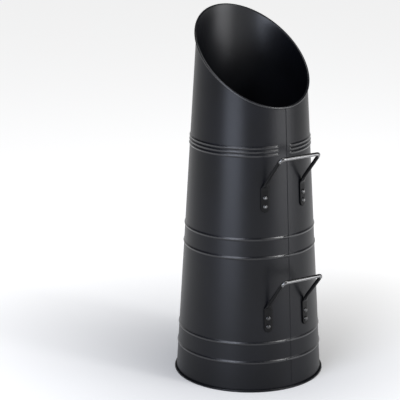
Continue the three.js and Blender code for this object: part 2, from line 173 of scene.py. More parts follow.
class FinishColours(bpy.types.PropertyGroup):
    """Colours of the finishes."""
    powder: colour("Powder coat", "Black satin powder coat on the sheet steel", "#090a0e")
    powder_pale: colour("Powder coat, thin", "The same coat where it lies a little thinner", "#0d0e13")
    rod: colour("Rod coat", "Black coat on the handles", "#0b0b0c")
    rivet: colour("Rivet paint", "Black paint on the rivets and washers", "#0d0d0e")
    # Painted highlight: this pale colour on the rivets' crowns stands for the glint of light on them, not for
    # bare steel
    bare: colour("Bare rivet", "Dull steel where the paint is off a rivet's crown", "#8e8e8e")
    steel: colour("Wire", "Drawn steel wire in the curled edges", "#8b8d90")


class CoatSheen(bpy.types.PropertyGroup):
    """How the coats shine on the plain wall, inside it, and where a piece stands proud and is rubbed."""
    wall_roughness: fraction("Wall roughness", "Roughness of the coat on the wall", 0.36)
    wall_gloss: fraction("Wall gloss", "Strength of the reflection on the wall", 0.22)
    inside_gloss: fraction("Inside gloss", "Strength of the reflection on the inside", 0.4)
    bead_roughness: fraction("Bead roughness", "Roughness on beads and curled edges", 0.28)
    bead_gloss: fraction("Bead gloss", "Strength of the reflection on beads and curled edges", 0.62)
    lug_gloss: fraction("Lug gloss", "Strength of the reflection on the lugs and arms", 0.16)
    grip_roughness: fraction("Grip roughness", "Roughness on the grips", 0.1)
    grip_gloss: fraction("Grip gloss", "Strength of the reflection on the grips", 1.0)
    rivet_roughness: fraction("Rivet roughness", "Roughness of the paint on the rivets", 0.2)
    rivet_gloss: fraction("Rivet gloss", "Strength of the reflection on the rivets", 0.6)


class StageSettings(bpy.types.PropertyGroup):
    """Floor, light and camera."""
    floor: colour("Floor", "Matt white floor", "#eeeeee")
    floor_radius: length("Floor radius", "Radius of the floor", 20)
    backdrop_height: length("Backdrop height", "Height of the backdrop round the floor", 3)
    camera_distance: length("Camera distance", "From the camera to the middle of the scuttle", 2.8192)
    camera_azimuth: angle("Camera azimuth", "Turn round the scuttle, 0 facing the seam", -34.467)
    camera_elevation: angle("Camera elevation", "Height of the camera above the horizon", 15.787)
    camera_lens: FloatProperty(name="Lens", description="Focal length in millimetres", default=155.236)
    aim_height: length("Aim height", "Height of the point the camera looks at", 287.46 * MM)
    aim_aside: FloatProperty(name="Aim aside", default=-80.93 * MM, unit="LENGTH", subtype="DISTANCE",
                             description="How far to its right the camera looks past the axis")


class ScuttleSettings(bpy.types.PropertyGroup):
    """All settings of the scuttle and its stage."""
    shell: PointerProperty(type=ShellSizes)
    pan: PointerProperty(type=PanSizes)
    handle: PointerProperty(type=HandleSizes)
    fastener: PointerProperty(type=FastenerSizes)
    finish: PointerProperty(type=FinishColours)
    sheen: PointerProperty(type=CoatSheen)
    stage: PointerProperty(type=StageSettings)


def settings():
    return bpy.context.scene.scuttle


# ---- Places on the wall ----
def wall_radius(height):
    shell = settings().shell
    return shell.foot_radius - shell.taper * height


def around(turn, radius, height):
    """A point at an angle round the axis, counted from the seam (-Y) towards +X."""
    return Vector((radius * math.sin(turn), -radius * math.cos(turn), height))


def wall_normal(turn):
    """The wall's outward direction, which points slightly up because the wall leans in."""
    return around(turn, 1, settings().shell.taper).normalized()


def mouth_point(turn):
    """Where the slanted mouth plane cuts the outside of the wall."""
    shell = settings().shell
    fall = shell.mouth_slope * math.cos(turn)
    height = (shell.mouth_height - fall * shell.foot_radius) / (1 - fall * shell.taper)
    return around(turn, wall_radius(height), height)


def lug_turn(rivet_height):
    """Angle of a handle's lugs from the seam: the same all along, because they follow the wall's slope."""
    sizes = settings()
    middle = wall_radius(rivet_height - sizes.fastener.pitch / 2)
    return math.asin(sizes.handle.lug_half_width / middle)


def ease(start, end, value):
    """0 before start, 1 after end and a smooth curve between them."""
    part = min(max((value - start) / (end - start), 0.0), 1.0)
    return part * part * (3 - 2 * part)


def mix(a, b, part):
    return a + (b - a) * part


def spread(values, step):
    """Sorted values, with more between them wherever they are further apart than a step."""
    filled = []
    values = sorted(set(values))
    for low, high in zip(values, values[1:]):
        parts = math.ceil((high - low) / step)
        filled += [mix(low, high, k / parts) for k in range(parts)]
    return filled + values[-1:]


# ---- Meshes ----
SHARP_EDGE = 35    # degrees at which an edge is no longer shaded smooth


def new_piece(name, points, faces=(), edges=()):
    """Links an object that sits unturned at the origin, with its place in its mesh."""
    mesh = bpy.data.meshes.new(name)
    mesh.from_pydata(points, edges, faces)
    made = bpy.data.objects.new(name, mesh)
    bpy.context.scene.collection.objects.link(made)
    return made


def swept(rings, closed):
    """Points and outward faces of a solid through rings that each hold the same number of points.

    The rings form a circle of their own, or a bar with a flat cap on each end."""
    count = len(rings[0])
    points = [point for ring in rings for point in ring]
    faces = []
    for ring in range(len(rings) if closed else len(rings) - 1):
        here, ahead = ring * count, (ring + 1) % len(rings) * count
        for side in range(count):
            after = (side + 1) % count
            faces.append((here + side, here + after, ahead + after, ahead + side))
    if not closed:
        faces.append(tuple(reversed(range(count))))
        faces.append(tuple(range(len(points) - count, len(points))))
    volume = sum(points[f[0]].dot(points[f[k]].cross(points[f[k + 1]]))
                 for f in faces for k in range(1, len(f) - 1))
    return points, faces if volume > 0 else [tuple(reversed(face)) for face in faces]


def finish_piece(piece, look, replaced, sharp=SHARP_EDGE):
    """Shades a piece, gives it its finish and seats it on the body in place of its frame nodes."""
    piece.data.shade_smooth()
    piece.data.set_sharp_from_angle(angle=math.radians(sharp))
    if not piece.data.materials:
        piece.data.materials.append(material(look))
    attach(piece, BODY)
    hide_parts(*replaced)


# ---- Node trees ----
NODE_STEP = 190    # from one node to the next in the editor


def add_node(tree, kind, inputs=(), output=0, **options):
    """Adds a node with its options, sets or links its inputs, and returns one of its outputs.

    Inputs are a list in their order, or a dictionary. Each is a value or another node's output, or a list
    of these: several links, or the value that a linked input keeps in an exported model, then its link."""
    made = tree.nodes.new(kind)
    made.location.x = NODE_STEP * len(tree.nodes)
    for name, value in options.items():
        setattr(made, name, value)
    for key, given in inputs.items() if isinstance(inputs, dict) else enumerate(inputs):
        for value in given if isinstance(given, list) else [given]:
            if isinstance(value, bpy.types.NodeSocket):
                tree.links.new(value, made.inputs[key])
            else:
                made.inputs[key].default_value = value
    return made.outputs[output] if made.outputs else None


def geometry_tree(name, sizes):
    """A tree that takes and gives geometry and has an input for each size, and what the inputs give."""
    tree = bpy.data.node_groups.new(name, "GeometryNodeTree")
    tree.interface.new_socket("Geometry", in_out="INPUT", socket_type="NodeSocketGeometry")
    for size in sizes:
        tree.interface.new_socket(size, in_out="INPUT", socket_type="NodeSocketFloat")
    tree.interface.new_socket("Geometry", in_out="OUTPUT", socket_type="NodeSocketGeometry")
    return tree, tree.nodes.new("NodeGroupInput").outputs


def give_finished(tree, geometry, look):
    """Ends a tree by making its instances real and setting their finish."""
    real = add_node(tree, "GeometryNodeRealizeInstances", [geometry])
    finished = add_node(tree, "GeometryNodeSetMaterial", {"Geometry": real, "Material": material(look)})
    add_node(tree, "NodeGroupOutput", [finished])


def named_sizes(group, *properties):
    """Sizes out of a property group, under the names that they have in the panel."""
    return {group.bl_rna.properties[name].name: getattr(group, name) for name in properties}


def run_tree(piece, build, sizes, look):
    """Builds a tree with an input for each size, and keeps what it makes as the piece's plain mesh."""
    tree = build(sizes, look)
    modifier = piece.modifiers.new(tree.name, "NODES")
    modifier.node_group = tree
    for item in tree.interface.items_tree:
        if item.in_out == "INPUT" and item.name in sizes:
            modifier[item.identifier] = sizes[item.name]
    graph = bpy.context.evaluated_depsgraph_get()
    made = bpy.data.meshes.new_from_object(piece.evaluated_get(graph))
    piece.modifiers.remove(modifier)
    piece.data = made


# ---- Form and press work of the shell ----
CURL_END_FOOT = math.radians(465)   # where the foot's curl ends, and where it meets the wall
CURL_END_RIM = math.radians(-105)
WALL_SIDE = math.radians(180)
FOOT_FLAT = math.radians(70)        # the foot stands on this facet of its curl
CURL_STEPS = 22

PLAIN_COLUMNS = 150
COLUMN_STEP = 1 * MM        # in the seam's zone
LINE_STEP = 0.175 * MM      # between the columns beside the line that the fold shows
LINE_COLUMNS = 4            # on each side of it
LINE_HALF_WIDTH = 0.7 * MM
FOLD_BEND = 0.4 * MM        # half the width over which the fold's edge rises
SINGLE_ENDS = 0.8 * MM      # over which a single bead's bulge ends beside the seam
GROUP_ENDS = 3 * MM         # over which a grouped bead ends

LEVEL_STEP = 12 * MM        # between levels on the plain wall
PRESS_STEPS = 10            # levels across a bead or a weld
MOUTH_LEVELS = 14           # parts of the wall between its top bead and the mouth
BESIDE = 0.4 * MM           # a level this close to a pressed form keeps the wall flat beside it
NOTCH = 0.5 * MM            # height over which the fold begins
WELD_COLUMNS = 5            # on each side of a weld
WELD_STEP = 0.25            # between them, over the weld's radius
WELD_SPAN = 2.4             # height of a weld's levels over its radius
WELD_MIDDLE = 0.4           # flat middle of a weld over its radius


def curl_turns(start, end):
    return [mix(start, end, step / CURL_STEPS) for step in range(CURL_STEPS + 1)]


def foot_curl(turn):
    """Middle of the foot's wire, with the directions out and up across it."""
    shell = settings().shell
    height = (shell.curl_hollow + shell.sheet) * math.sin(FOOT_FLAT)
    centre = around(turn, wall_radius(height) + shell.curl_hollow, height)
    return centre, around(turn, 1, 0), Vector((0, 0, 1))


def rim_curl(turn):
    """Middle of the rim's wire. The curl stands square to the slanted edge, so it is as thick all round."""
    step = 0.01
    out = wall_normal(turn)
    along = (mouth_point(turn + step) - mouth_point(turn - step)).normalized()
    return mouth_point(turn) + out * settings().shell.curl_hollow, out, out.cross(along)


def curl_pair(curl, turn):
    """A point on each face of the sheet where it curls outwards over its wire."""
    shell = settings().shell
    centre, out, up = curl
    across = out * math.cos(turn) + up * math.sin(turn)
    return centre + across * shell.curl_hollow, centre + across * (shell.curl_hollow + shell.sheet)


def on_floor(point):
    """The foot is pressed flat where it stands."""
    return Vector((point.x, point.y, max(point.z, 0.0)))


def wall_heights():
    """Levels on the wall below the mouth's zone, close together where it is pressed."""
    shell = settings().shell
    pressed = [(middle, shell.single_bead_width) for middle in SINGLE_BEADS.values()]
    pressed += [(middle, shell.group_bead_width) for middle in GROUP_BEADS.values()]
    heights = [shell.fold_start - NOTCH, shell.fold_start]
    for middle, width in [*pressed, (shell.weld_height, WELD_SPAN * shell.weld_radius)]:
        heights += [middle + width * (k / PRESS_STEPS - 0.5) for k in range(PRESS_STEPS + 1)]
        heights += [middle - width / 2 - BESIDE, middle + width / 2 + BESIDE]
    return spread(heights, LEVEL_STEP)


def seam_columns():
    """Distances of the shell's columns near the seam, closest at the line that shows."""
    near = [SEAM_LINE + k * LINE_STEP for k in range(-LINE_COLUMNS, LINE_COLUMNS + 1)]
    edges = [edge + side * FOLD_BEND for edge in FOLD for side in (-1, 1)]
    return spread([*SEAM_ZONE, *FOLD, *BEAD_STOP, *near, *edges], COLUMN_STEP)


def plain_ends(radius):
    """Angles at which the seam's zone ends and begins again."""
    return SEAM_ZONE[1] / radius, 2 * math.pi + SEAM_ZONE[0] / radius


def plain_columns(count, welds):
    """Parts of the way round from the seam's right side back to its left side, closer at the welds."""
    shell = settings().shell
    start, end = plain_ends(shell.foot_radius)
    parts = [k / (count + 1) for k in range(1, count + 1)]
    for weld in range(welds):
        turn = (shell.weld_turn + 2 * math.pi * weld / welds) % (2 * math.pi)
        for k in range(-WELD_COLUMNS, WELD_COLUMNS + 1):
            beside = k * WELD_STEP * shell.weld_radius / shell.foot_radius
            parts.append((turn + beside - start) / (end - start))
    return [part for part in sorted(parts) if 0 < part < 1]


def column_turns(seam, plain, radius):
    """Angles of all columns at a wall of this radius."""
    return [distance / radius for distance in seam] + [mix(*plain_ends(radius), part) for part in plain]


def fold_share(distance):
    """1 on the seam's fold and 0 beside it."""
    return (ease(FOLD[0] - FOLD_BEND, FOLD[0] + FOLD_BEND, distance)
            * ease(-FOLD[1] - FOLD_BEND, -FOLD[1] + FOLD_BEND, -distance))


def line_share(distance):
    """1 at the bottom of the line that the fold shows outside."""
    return max(0.0, 1 - abs(distance - SEAM_LINE) / LINE_HALF_WIDTH)


def wall_pair(turn, height, distance):
    """A point on each face of the wall, at a distance from the middle of the front."""
    shell = settings().shell
    folded = fold_share(distance) if height >= shell.fold_start else 0.0
    groove = shell.groove_depth * line_share(distance) if folded > 0 else 0.0
    reach = wall_radius(height)
    return (around(turn, reach - groove, height),
            around(turn, reach - shell.sheet - shell.fold_depth * folded, height))


def shell_rings():
    """The sheet's closed outline, column by column: up its outer face and down its inner one."""
    shell = settings().shell
    seam, plain = seam_columns(), plain_columns(PLAIN_COLUMNS, SPOT_WELDS)
    heights = wall_heights()
    at_foot = column_turns(seam, plain, shell.foot_radius)
    at_level = [column_turns(seam, plain, wall_radius(height)) for height in heights]
    at_mouth = column_turns(seam, plain, wall_radius(shell.mouth_height))
    rings = []
    for column, distance in enumerate(seam + [math.inf] * len(plain)):
        foot, rim = foot_curl(at_foot[column]), rim_curl(at_mouth[column])
        pairs = [[on_floor(point) for point in curl_pair(foot, turn)]
                 for turn in curl_turns(CURL_END_FOOT, WALL_SIDE)]
        pairs += [wall_pair(turns[column], height, distance) for turns, height in zip(at_level, heights)]
        top = mouth_point(at_mouth[column]).z
        for level in range(1, MOUTH_LEVELS):
            height = mix(heights[-1], top, level / MOUTH_LEVELS)
            turn = distance / wall_radius(height) if distance < math.inf else at_mouth[column]
            pairs.append(wall_pair(turn, height, distance))
        pairs += [curl_pair(rim, turn) for turn in curl_turns(WALL_SIDE, CURL_END_RIM)]
        rings.append([outer for outer, inner in pairs] + [inner for outer, inner in reversed(pairs)])
    return rings


def wall_fields(tree):
    """What the pressing trees read at a point: direction outwards, height, angle from the seam and radius."""
    node = partial(add_node, tree)
    x, y, height = node("ShaderNodeSeparateXYZ", [node("GeometryNodeInputPosition")]).node.outputs
    flat = node("ShaderNodeCombineXYZ", [x, y])
    out = node("ShaderNodeVectorMath", [flat], operation="NORMALIZE")
    radius = node("ShaderNodeVectorMath", [flat], "Value", operation="LENGTH")
    ahead = node("ShaderNodeMath", [y, -1.0], operation="MULTIPLY")
    return out, height, node("ShaderNodeMath", [x, ahead], operation="ARCTAN2"), radius


def press(tree, geometry, out, reach):
    """Ends a tree by moving the wall outwards by a reach that may differ from point to point."""
    offset = add_node(tree, "ShaderNodeVectorMath", {0: out, "Scale": reach}, operation="SCALE")
    pressed = add_node(tree, "GeometryNodeSetPosition", {"Geometry": geometry, "Offset": offset})
    add_node(tree, "NodeGroupOutput", [pressed])


def bead_tree():
    """Presses one bead, a full wave, outwards all round the wall. On the seam it reaches more or less."""
    tree, given = geometry_tree("Pressed bead", [
        "Height", "Width", "Reach", "Seam left", "Seam right", "Seam ends", "Seam share"])
    node = partial(add_node, tree)
    out, height, turn, radius = wall_fields(tree)
    above = node("ShaderNodeMath", [height, given["Height"]], operation="SUBTRACT")
    away = node("ShaderNodeMath", [above], operation="ABSOLUTE")
    widths = node("ShaderNodeMath", [away, given["Width"]], operation="DIVIDE")
    within = node("ShaderNodeMath", [widths, 0.5], operation="MINIMUM")
    phase = node("ShaderNodeMath", [within, 2 * math.pi], operation="MULTIPLY")
    wave = node("ShaderNodeMath", [phase], operation="COSINE")
    crown = node("ShaderNodeMath", [wave, 0.5, 0.5], operation="MULTIPLY_ADD")
    distance = node("ShaderNodeMath", [turn, radius], operation="MULTIPLY")
    inside = []
    for edge, operation in (("Seam left", "SUBTRACT"), ("Seam right", "ADD")):
        end = node("ShaderNodeMath", [given[edge], given["Seam ends"]], operation=operation)
        inside.append(node("ShaderNodeMapRange", [distance, end, given[edge]],
                           interpolation_type="SMOOTHSTEP"))
    on_seam = node("ShaderNodeMath", inside, operation="MULTIPLY")
    extra = node("ShaderNodeMath", [given["Seam share"], 1.0], operation="SUBTRACT")
    seam_share = node("ShaderNodeMath", [on_seam, extra, 1.0], operation="MULTIPLY_ADD")
    part = node("ShaderNodeMath", [crown, seam_share], operation="MULTIPLY")
    press(tree, given["Geometry"], out, node("ShaderNodeMath", [part, given["Reach"]], operation="MULTIPLY"))
    return tree


def weld_tree():
    """Presses a ring of evenly spaced round dimples into the wall."""
    tree, given = geometry_tree("Spot welds", ["Height", "Radius", "Depth", "Turn", "Count"])
    node = partial(add_node, tree)
    out, height, turn, radius = wall_fields(tree)
    half = node("ShaderNodeMath", [math.pi, given["Count"]], operation="DIVIDE")
    back = node("ShaderNodeMath", [half, -1.0], operation="MULTIPLY")
    from_first = node("ShaderNodeMath", [turn, given["Turn"]], operation="SUBTRACT")
    from_nearest = node("ShaderNodeMath", [from_first, half, back], operation="WRAP")
    aside = node("ShaderNodeMath", [from_nearest, radius], operation="MULTIPLY")
    above = node("ShaderNodeMath", [height, given["Height"]], operation="SUBTRACT")
    flat = node("ShaderNodeCombineXYZ", [aside, above])
    away = node("ShaderNodeVectorMath", [flat], "Value", operation="LENGTH")
    middle = node("ShaderNodeMath", [given["Radius"], WELD_MIDDLE], operation="MULTIPLY")
    dimple = node("ShaderNodeMapRange", [away, given["Radius"], middle], interpolation_type="SMOOTHSTEP")
    inward = node("ShaderNodeMath", [given["Depth"], -1.0], operation="MULTIPLY")
    press(tree, given["Geometry"], out, node("ShaderNodeMath", [dimple, inward], operation="MULTIPLY"))
    return tree


def pressing_tree(sizes, look):
    """The press work on the whole shell: every bead, then the spot welds."""
    tree, given = geometry_tree("Shell pressing", sizes)
    bead = bead_tree()
    geometry = given["Geometry"]
    for name in [*SINGLE_BEADS, *GROUP_BEADS]:
        alone = name in SINGLE_BEADS
        left, right = (FOLD[0], SEAM_LINE) if alone else BEAD_STOP
        geometry = add_node(tree, "GeometryNodeGroup", {
            "Geometry": geometry, "Height": given[name], "Reach": given["Bead reach"],
            "Width": given["Single bead width" if alone else "Group bead width"],
            "Seam left": left, "Seam right": right, "Seam ends": SINGLE_ENDS if alone else GROUP_ENDS,
            "Seam share": given["Seam bulge"] if alone else 0.0}, node_tree=bead)
    geometry = add_node(tree, "GeometryNodeGroup", {
        "Geometry": geometry, "Count": float(SPOT_WELDS),
        **{size: given[f"Weld {size.lower()}"] for size in ("Height", "Radius", "Depth", "Turn")}
    }, node_tree=weld_tree())
    give_finished(tree, geometry, look)
    return tree


# ---- Finishes ----
# Reaches out of the wall's outer face: where the inside ends, where the painted shade on a lug's sides
# ends, where beads are rubbed, and where the painted highlight on the crowns of rivets lies
INSIDE_END = (-0.6 * MM, -0.4 * MM)
LUG_SIDE_SHADE_END = (1.9 * MM, 2.4 * MM)
BEAD_RUBBED = (0.02 * MM, 0.35 * MM)
CROWN_HIGHLIGHT_REACH = (4.5 * MM, 4.63 * MM)
GRIP_RUBBED = (38.5 * MM, 40 * MM)  # ahead of the seam, which leaves out the arms

SHADED_FOOT = (3 * MM, 5 * MM)       # heights over which the painted shade at the foot, a duller reflection, ends
CROWN_HIGHLIGHT_HEIGHTS = (100 * MM, 320 * MM)      # heights over which the painted highlight on the crowns grows stronger
LEAST_CROWN_HIGHLIGHT = 0.15                   # how strong that painted highlight is below them

# Sizes of the patterns. The real grain of the coat is about 0.1 mm, and it is drawn coarser so that it
# shows. A peel is the width and the depth of its ripples.
PATCH_SIZE = 70 * MM
GRAIN_SIZE = 0.8 * MM
POWDER_PEEL = (2.6 * MM, 0.02 * MM)
ROD_PEEL = (2 * MM, 0.01 * MM)
PAINT_PEEL = (1.2 * MM, 0.01 * MM)
DULL_PATCH_SIZE = 3 * MM
DIE_MARKS = (0.3 * MM, 0.01 * MM)

PATCH_EDGE = (0.35, 0.65)           # noise values between which one patch turns into the next
GRAIN_EDGE = (0.3, 0.7)             # noise values at which the grain is smoothest and roughest
GRAIN_ROUGHNESS = 0.04              # by which the grain changes the roughness either way
WIRE_ROUGHNESS = (0.25, 0.5)
POLISH_IOR = 1.8                    # the polish of many hands mirrors more than the plain coat


def material(look):
    """The material of a look. The first call makes it, with the shader inputs that the look gives."""
    made = bpy.data.materials.get(look.__name__)
    if made is None:
        made = bpy.data.materials.new(look.__name__)
        made.use_nodes = True
        tree = made.node_tree
        tree.nodes.clear()
        place = add_node(tree, "ShaderNodeTexCoord", output="Object")
        surface = add_node(tree, "ShaderNodeBsdfPrincipled", look(tree, place))
        add_node(tree, "ShaderNodeOutputMaterial", {"Surface": surface})
    return made


def past_wall(tree, place, limits, ahead=False):
    """0 where a point stands out of the wall by less than the first limit, and 1 past the second one.

    The wall's distance is taken from the axis, or straight ahead at the seam."""
    node = partial(add_node, tree)
    shell = settings().shell
    x, y, height = node("ShaderNodeSeparateXYZ", [place]).node.outputs
    flat = node("ShaderNodeCombineXYZ", [0.0 if ahead else x, y])
    away = node("ShaderNodeVectorMath", [flat], "Value", operation="LENGTH")
    wall = node("ShaderNodeMath", [height, shell.taper, -shell.foot_radius], operation="MULTIPLY_ADD")
    reach = node("ShaderNodeMath", [away, wall], operation="ADD")
    return node("ShaderNodeMapRange", [reach, *limits], interpolation_type="SMOOTHSTEP")


def relief(tree, place, size, depth):
    """A normal that ripples with a real width and depth."""
    ripple = add_node(tree, "ShaderNodeTexNoise", {"Vector": place, "Scale": 1 / size})
    return add_node(tree, "ShaderNodeBump", {"Strength": 1.0, "Distance": depth, "Height": ripple})


def sprayed_coat(tree, place, roughness, peel):
    """A sprayed and baked coat on steel: a soft sheen, made uneven by a fine grain, over orange peel."""
    grain = add_node(tree, "ShaderNodeTexNoise", {"Vector": place, "Scale": 1 / GRAIN_SIZE})
    uneven = add_node(tree, "ShaderNodeMapRange", [
        grain, *GRAIN_EDGE, roughness - GRAIN_ROUGHNESS, roughness + GRAIN_ROUGHNESS])
    return {"Roughness": uneven, "Normal": relief(tree, place, *peel)}


def rubbed_coat(tree, place, roughness, gloss, above, worn, peel):
    """A sprayed coat that shines more or less where it is worn.

    Roughness is given plain and worn, and gloss below the plain coat, on it and where it is worn."""
    node = partial(add_node, tree)
    plain_roughness, worn_roughness = roughness
    low, plain, rubbed = gloss
    coat = sprayed_coat(tree, place, plain_roughness, peel)
    change = [worn, worn_roughness - plain_roughness, coat["Roughness"]]
    shine = node("ShaderNodeMath", [above, plain - low, low], operation="MULTIPLY_ADD")
    shine = node("ShaderNodeMath", [worn, rubbed - plain, shine], operation="MULTIPLY_ADD")
    return {**coat, "Roughness": node("ShaderNodeMath", change, operation="MULTIPLY_ADD"),
            "Specular IOR Level": [plain, shine]}


def black_powder_coat(tree, place):
    """Black satin polyester powder coat on the sheet steel.

    It lies a little thinner in broad soft patches, where it is a touch paler. Beads and curled edges are
    rubbed to a brighter line of light, but not the foot's curl, which is kept dull as painted shade at the
    floor."""
    node = partial(add_node, tree)
    finish, sheen = settings().finish, settings().sheen
    patches = node("ShaderNodeTexNoise", {"Vector": place, "Scale": 1 / PATCH_SIZE, "Detail": 3.0})
    thin = node("ShaderNodeMapRange", [patches, *PATCH_EDGE], interpolation_type="SMOOTHSTEP")
    tone = node("ShaderNodeMix", {"Factor": thin, "A": (*finish.powder, 1), "B": (*finish.powder_pale, 1)},
                "Result", data_type="RGBA")
    height = node("ShaderNodeSeparateXYZ", [place], "Z")
    # Painted shade at the foot: the beads' brighter reflection is left off the foot's curl
    clear = node("ShaderNodeMapRange", [height, *SHADED_FOOT], interpolation_type="SMOOTHSTEP")
    worn = node("ShaderNodeMath", [past_wall(tree, place, BEAD_RUBBED), clear], operation="MULTIPLY")
    return {"Base Color": tone, **rubbed_coat(
        tree, place, (sheen.wall_roughness, sheen.bead_roughness),
        (sheen.inside_gloss, sheen.wall_gloss, sheen.bead_gloss),
        past_wall(tree, place, INSIDE_END), worn, POWDER_PEEL)}


def black_coated_rod(tree, place):
    """Black coat on the handles, without any reflection on the lugs' sides, which is painted shade, and
    polished by hands on the grips.
    """
    finish, sheen = settings().finish, settings().sheen
    # Painted shade: below the side reach the lugs' sides reflect nothing and stay black, as shade beside the
    # wall
    polished = past_wall(tree, place, GRIP_RUBBED, ahead=True)
    return {"Base Color": (*finish.rod, 1), "Coat Weight": polished,
            "Coat Roughness": sheen.grip_roughness, "Coat IOR": POLISH_IOR,
            **rubbed_coat(tree, place, (sheen.wall_roughness, sheen.grip_roughness),
                          (0.0, sheen.lug_gloss, sheen.grip_gloss),
                          past_wall(tree, place, LUG_SIDE_SHADE_END), polished, ROD_PEEL)}


def black_painted_rivet(tree, place):
    """Semi-gloss black paint on cold-headed steel rivets and washers.

    A pale dot on each crown is a painted highlight, stronger on the upper handle than on the lower one."""
    node = partial(add_node, tree)
    finish, sheen = settings().finish, settings().sheen
    # The crowns' pale colour is a painted highlight, stronger higher up
    height = node("ShaderNodeSeparateXYZ", [place], "Z")
    highlight_rise = node("ShaderNodeMapRange", [height, *CROWN_HIGHLIGHT_HEIGHTS], interpolation_type="SMOOTHSTEP")
    highlight_strength = node("ShaderNodeMath", [highlight_rise, 1 - LEAST_CROWN_HIGHLIGHT, LEAST_CROWN_HIGHLIGHT], operation="MULTIPLY_ADD")
    bare = node("ShaderNodeMath", [past_wall(tree, place, CROWN_HIGHLIGHT_REACH), highlight_strength], operation="MULTIPLY")
    tone = node("ShaderNodeMix", {"Factor": bare, "A": (*finish.rivet, 1), "B": (*finish.bare, 1)},
                "Result", data_type="RGBA")
    return {"Base Color": tone, "Specular IOR Level": sheen.rivet_gloss,
            **sprayed_coat(tree, place, sheen.rivet_roughness, PAINT_PEEL)}


def drawn_steel_wire(tree, place):
    """Bright drawn steel wire: a metal with fine die marks, dulled in patches."""
    patches = add_node(tree, "ShaderNodeTexNoise", {"Vector": place, "Scale": 1 / DULL_PATCH_SIZE})
    dull = add_node(tree, "ShaderNodeMapRange", [patches, 0.0, 1.0, *WIRE_ROUGHNESS])
    return {"Base Color": (*settings().finish.steel, 1), "Metallic": 1.0, "Roughness": dull,
            "Normal": relief(tree, place, *DIE_MARKS)}


# ---- Stage ----
SENSOR_WIDTH = 36           # of the camera, in millimetres
SIGHT_END = 100             # how far the camera sees
CAMERA_MIDDLE = 290 * MM    # heights that the camera and the lights turn about
LIGHT_MIDDLE = 300 * MM

FLOOR_SIDES = 64
FLOOR_GLOW = (0.15, 0.8)    # near the scuttle, where the weaker glow is painted shade round its foot, and away from it
GLOW_REACH = (0.12, 0.7)    # distances from the axis between which it grows
WORLD_LIGHT = 0.06

# Soft boxes: azimuth (0 in front of the seam, + towards +X) and elevation in degrees, distance, width and
# height in metres, power in watts, and colour
SOFT_BOXES = {
    "key": (-66, -2, 1.8, 1.0, 0.5, 15, "#e2ebff"),
    "key_high": (-64, 35, 1.8, 0.9, 0.8, 12, "#ecf1ff"),
    "fill": (30, -1, 1.8, 1.2, 0.5, 11, "#fafbff"),
    "fill_high": (24, 35, 1.8, 1.1, 0.8, 6, "#ffffff"),
    "front": (24, 32, 1.8, 0.25, 0.25, 6, "#ffffff"),
    "top": (-20, 84, 1.8, 0.9, 0.9, 7.5, "#ffffff"),
}


class SCUTTLE_OT_stage(bpy.types.Operator):
    """Make the floor, the lights and the camera"""
    bl_idname = "scuttle.stage"
    bl_label = "Stage"

    def execute(self, context):
        stage = settings().stage
        make_camera(stage)
        make_floor(stage)
        make_lights()
        make_world()
        context.scene.view_settings.view_transform = "Standard"
        return {"FINISHED"}


def seat(name, data, place, turned):
    """Links a lamp or camera at its place, turned as given."""
    made = bpy.data.objects.new(name, data)
    made.location = place
    made.rotation_mode = "QUATERNION"
    made.rotation_quaternion = turned
    bpy.context.scene.collection.objects.link(made)
    return made


def make_camera(stage):
    """A plain camera that looks a little past the axis, at the photograph's angle."""
    data = bpy.data.cameras.new("camera")
    data.lens = stage.camera_lens
    data.sensor_width = SENSOR_WIDTH
    data.clip_end = SIGHT_END
    turn, rise = stage.camera_azimuth, stage.camera_elevation
    back = around(turn, math.cos(rise), math.sin(rise))
    right = Vector((math.cos(turn), math.sin(turn), 0))
    place = Vector((0, 0, CAMERA_MIDDLE)) + back * stage.camera_distance
    aim = Vector((0, 0, stage.aim_height)) + right * stage.aim_aside
    bpy.context.scene.camera = seat("camera", data, place, (aim - place).to_track_quat("-Z", "Y"))


def matt_white_floor(tree, place):
    """Matt white paint, which to the eye, and in mirror images, is white paper where nothing shades it, with
    painted shade round the scuttle where its glow is weaker.
    """
    node = partial(add_node, tree)
    path = node("ShaderNodeLightPath").node.outputs
    mirrored = node("ShaderNodeMath", [path["Is Glossy Ray"], path["Is Transmission Ray"]],
                    operation="MAXIMUM")
    seen = node("ShaderNodeMath", [path["Is Camera Ray"], mirrored], operation="MAXIMUM")
    away = node("ShaderNodeVectorMath", [place], "Value", operation="LENGTH")
    # The glow is weaker near the scuttle: painted shade round its foot
    glow = node("ShaderNodeMapRange", [away, *GLOW_REACH, *FLOOR_GLOW])
    return {"Base Color": (*settings().stage.floor, 1), "Roughness": 1.0, "Specular IOR Level": 0.0,
            "Emission Color": (1, 1, 1, 1),
            "Emission Strength": node("ShaderNodeMath", [seen, glow], operation="MULTIPLY")}


def make_floor(stage):
    """A round floor with a low backdrop of the same white all round it."""
    turns = [2 * math.pi * k / FLOOR_SIDES for k in range(FLOOR_SIDES)]
    points = [around(turn, stage.floor_radius, height)
              for height in (0, stage.backdrop_height) for turn in turns]
    faces = [tuple(range(FLOOR_SIDES))]
    for k in range(FLOOR_SIDES):
        after = (k + 1) % FLOOR_SIDES
        faces.append((k, k + FLOOR_SIDES, after + FLOOR_SIDES, after))
    floor = new_piece("floor", points, faces)
    floor.data.materials.append(material(matt_white_floor))


def make_lights():
    """Soft boxes round the scuttle, each turned to its middle."""
    for name, (turn, rise, distance, width, height, power, tint) in SOFT_BOXES.items():
        data = bpy.data.lights.new(name, "AREA")
        data.shape = "RECTANGLE"
        data.size, data.size_y = width, height
        data.energy = power
        data.color = linear(tint)
        rise = math.radians(rise)
        back = around(math.radians(turn), math.cos(rise), math.sin(rise))
        place = Vector((0, 0, LIGHT_MIDDLE)) + back * distance
        seat(name, data, place, back.to_track_quat("Z", "Y")).visible_camera = False


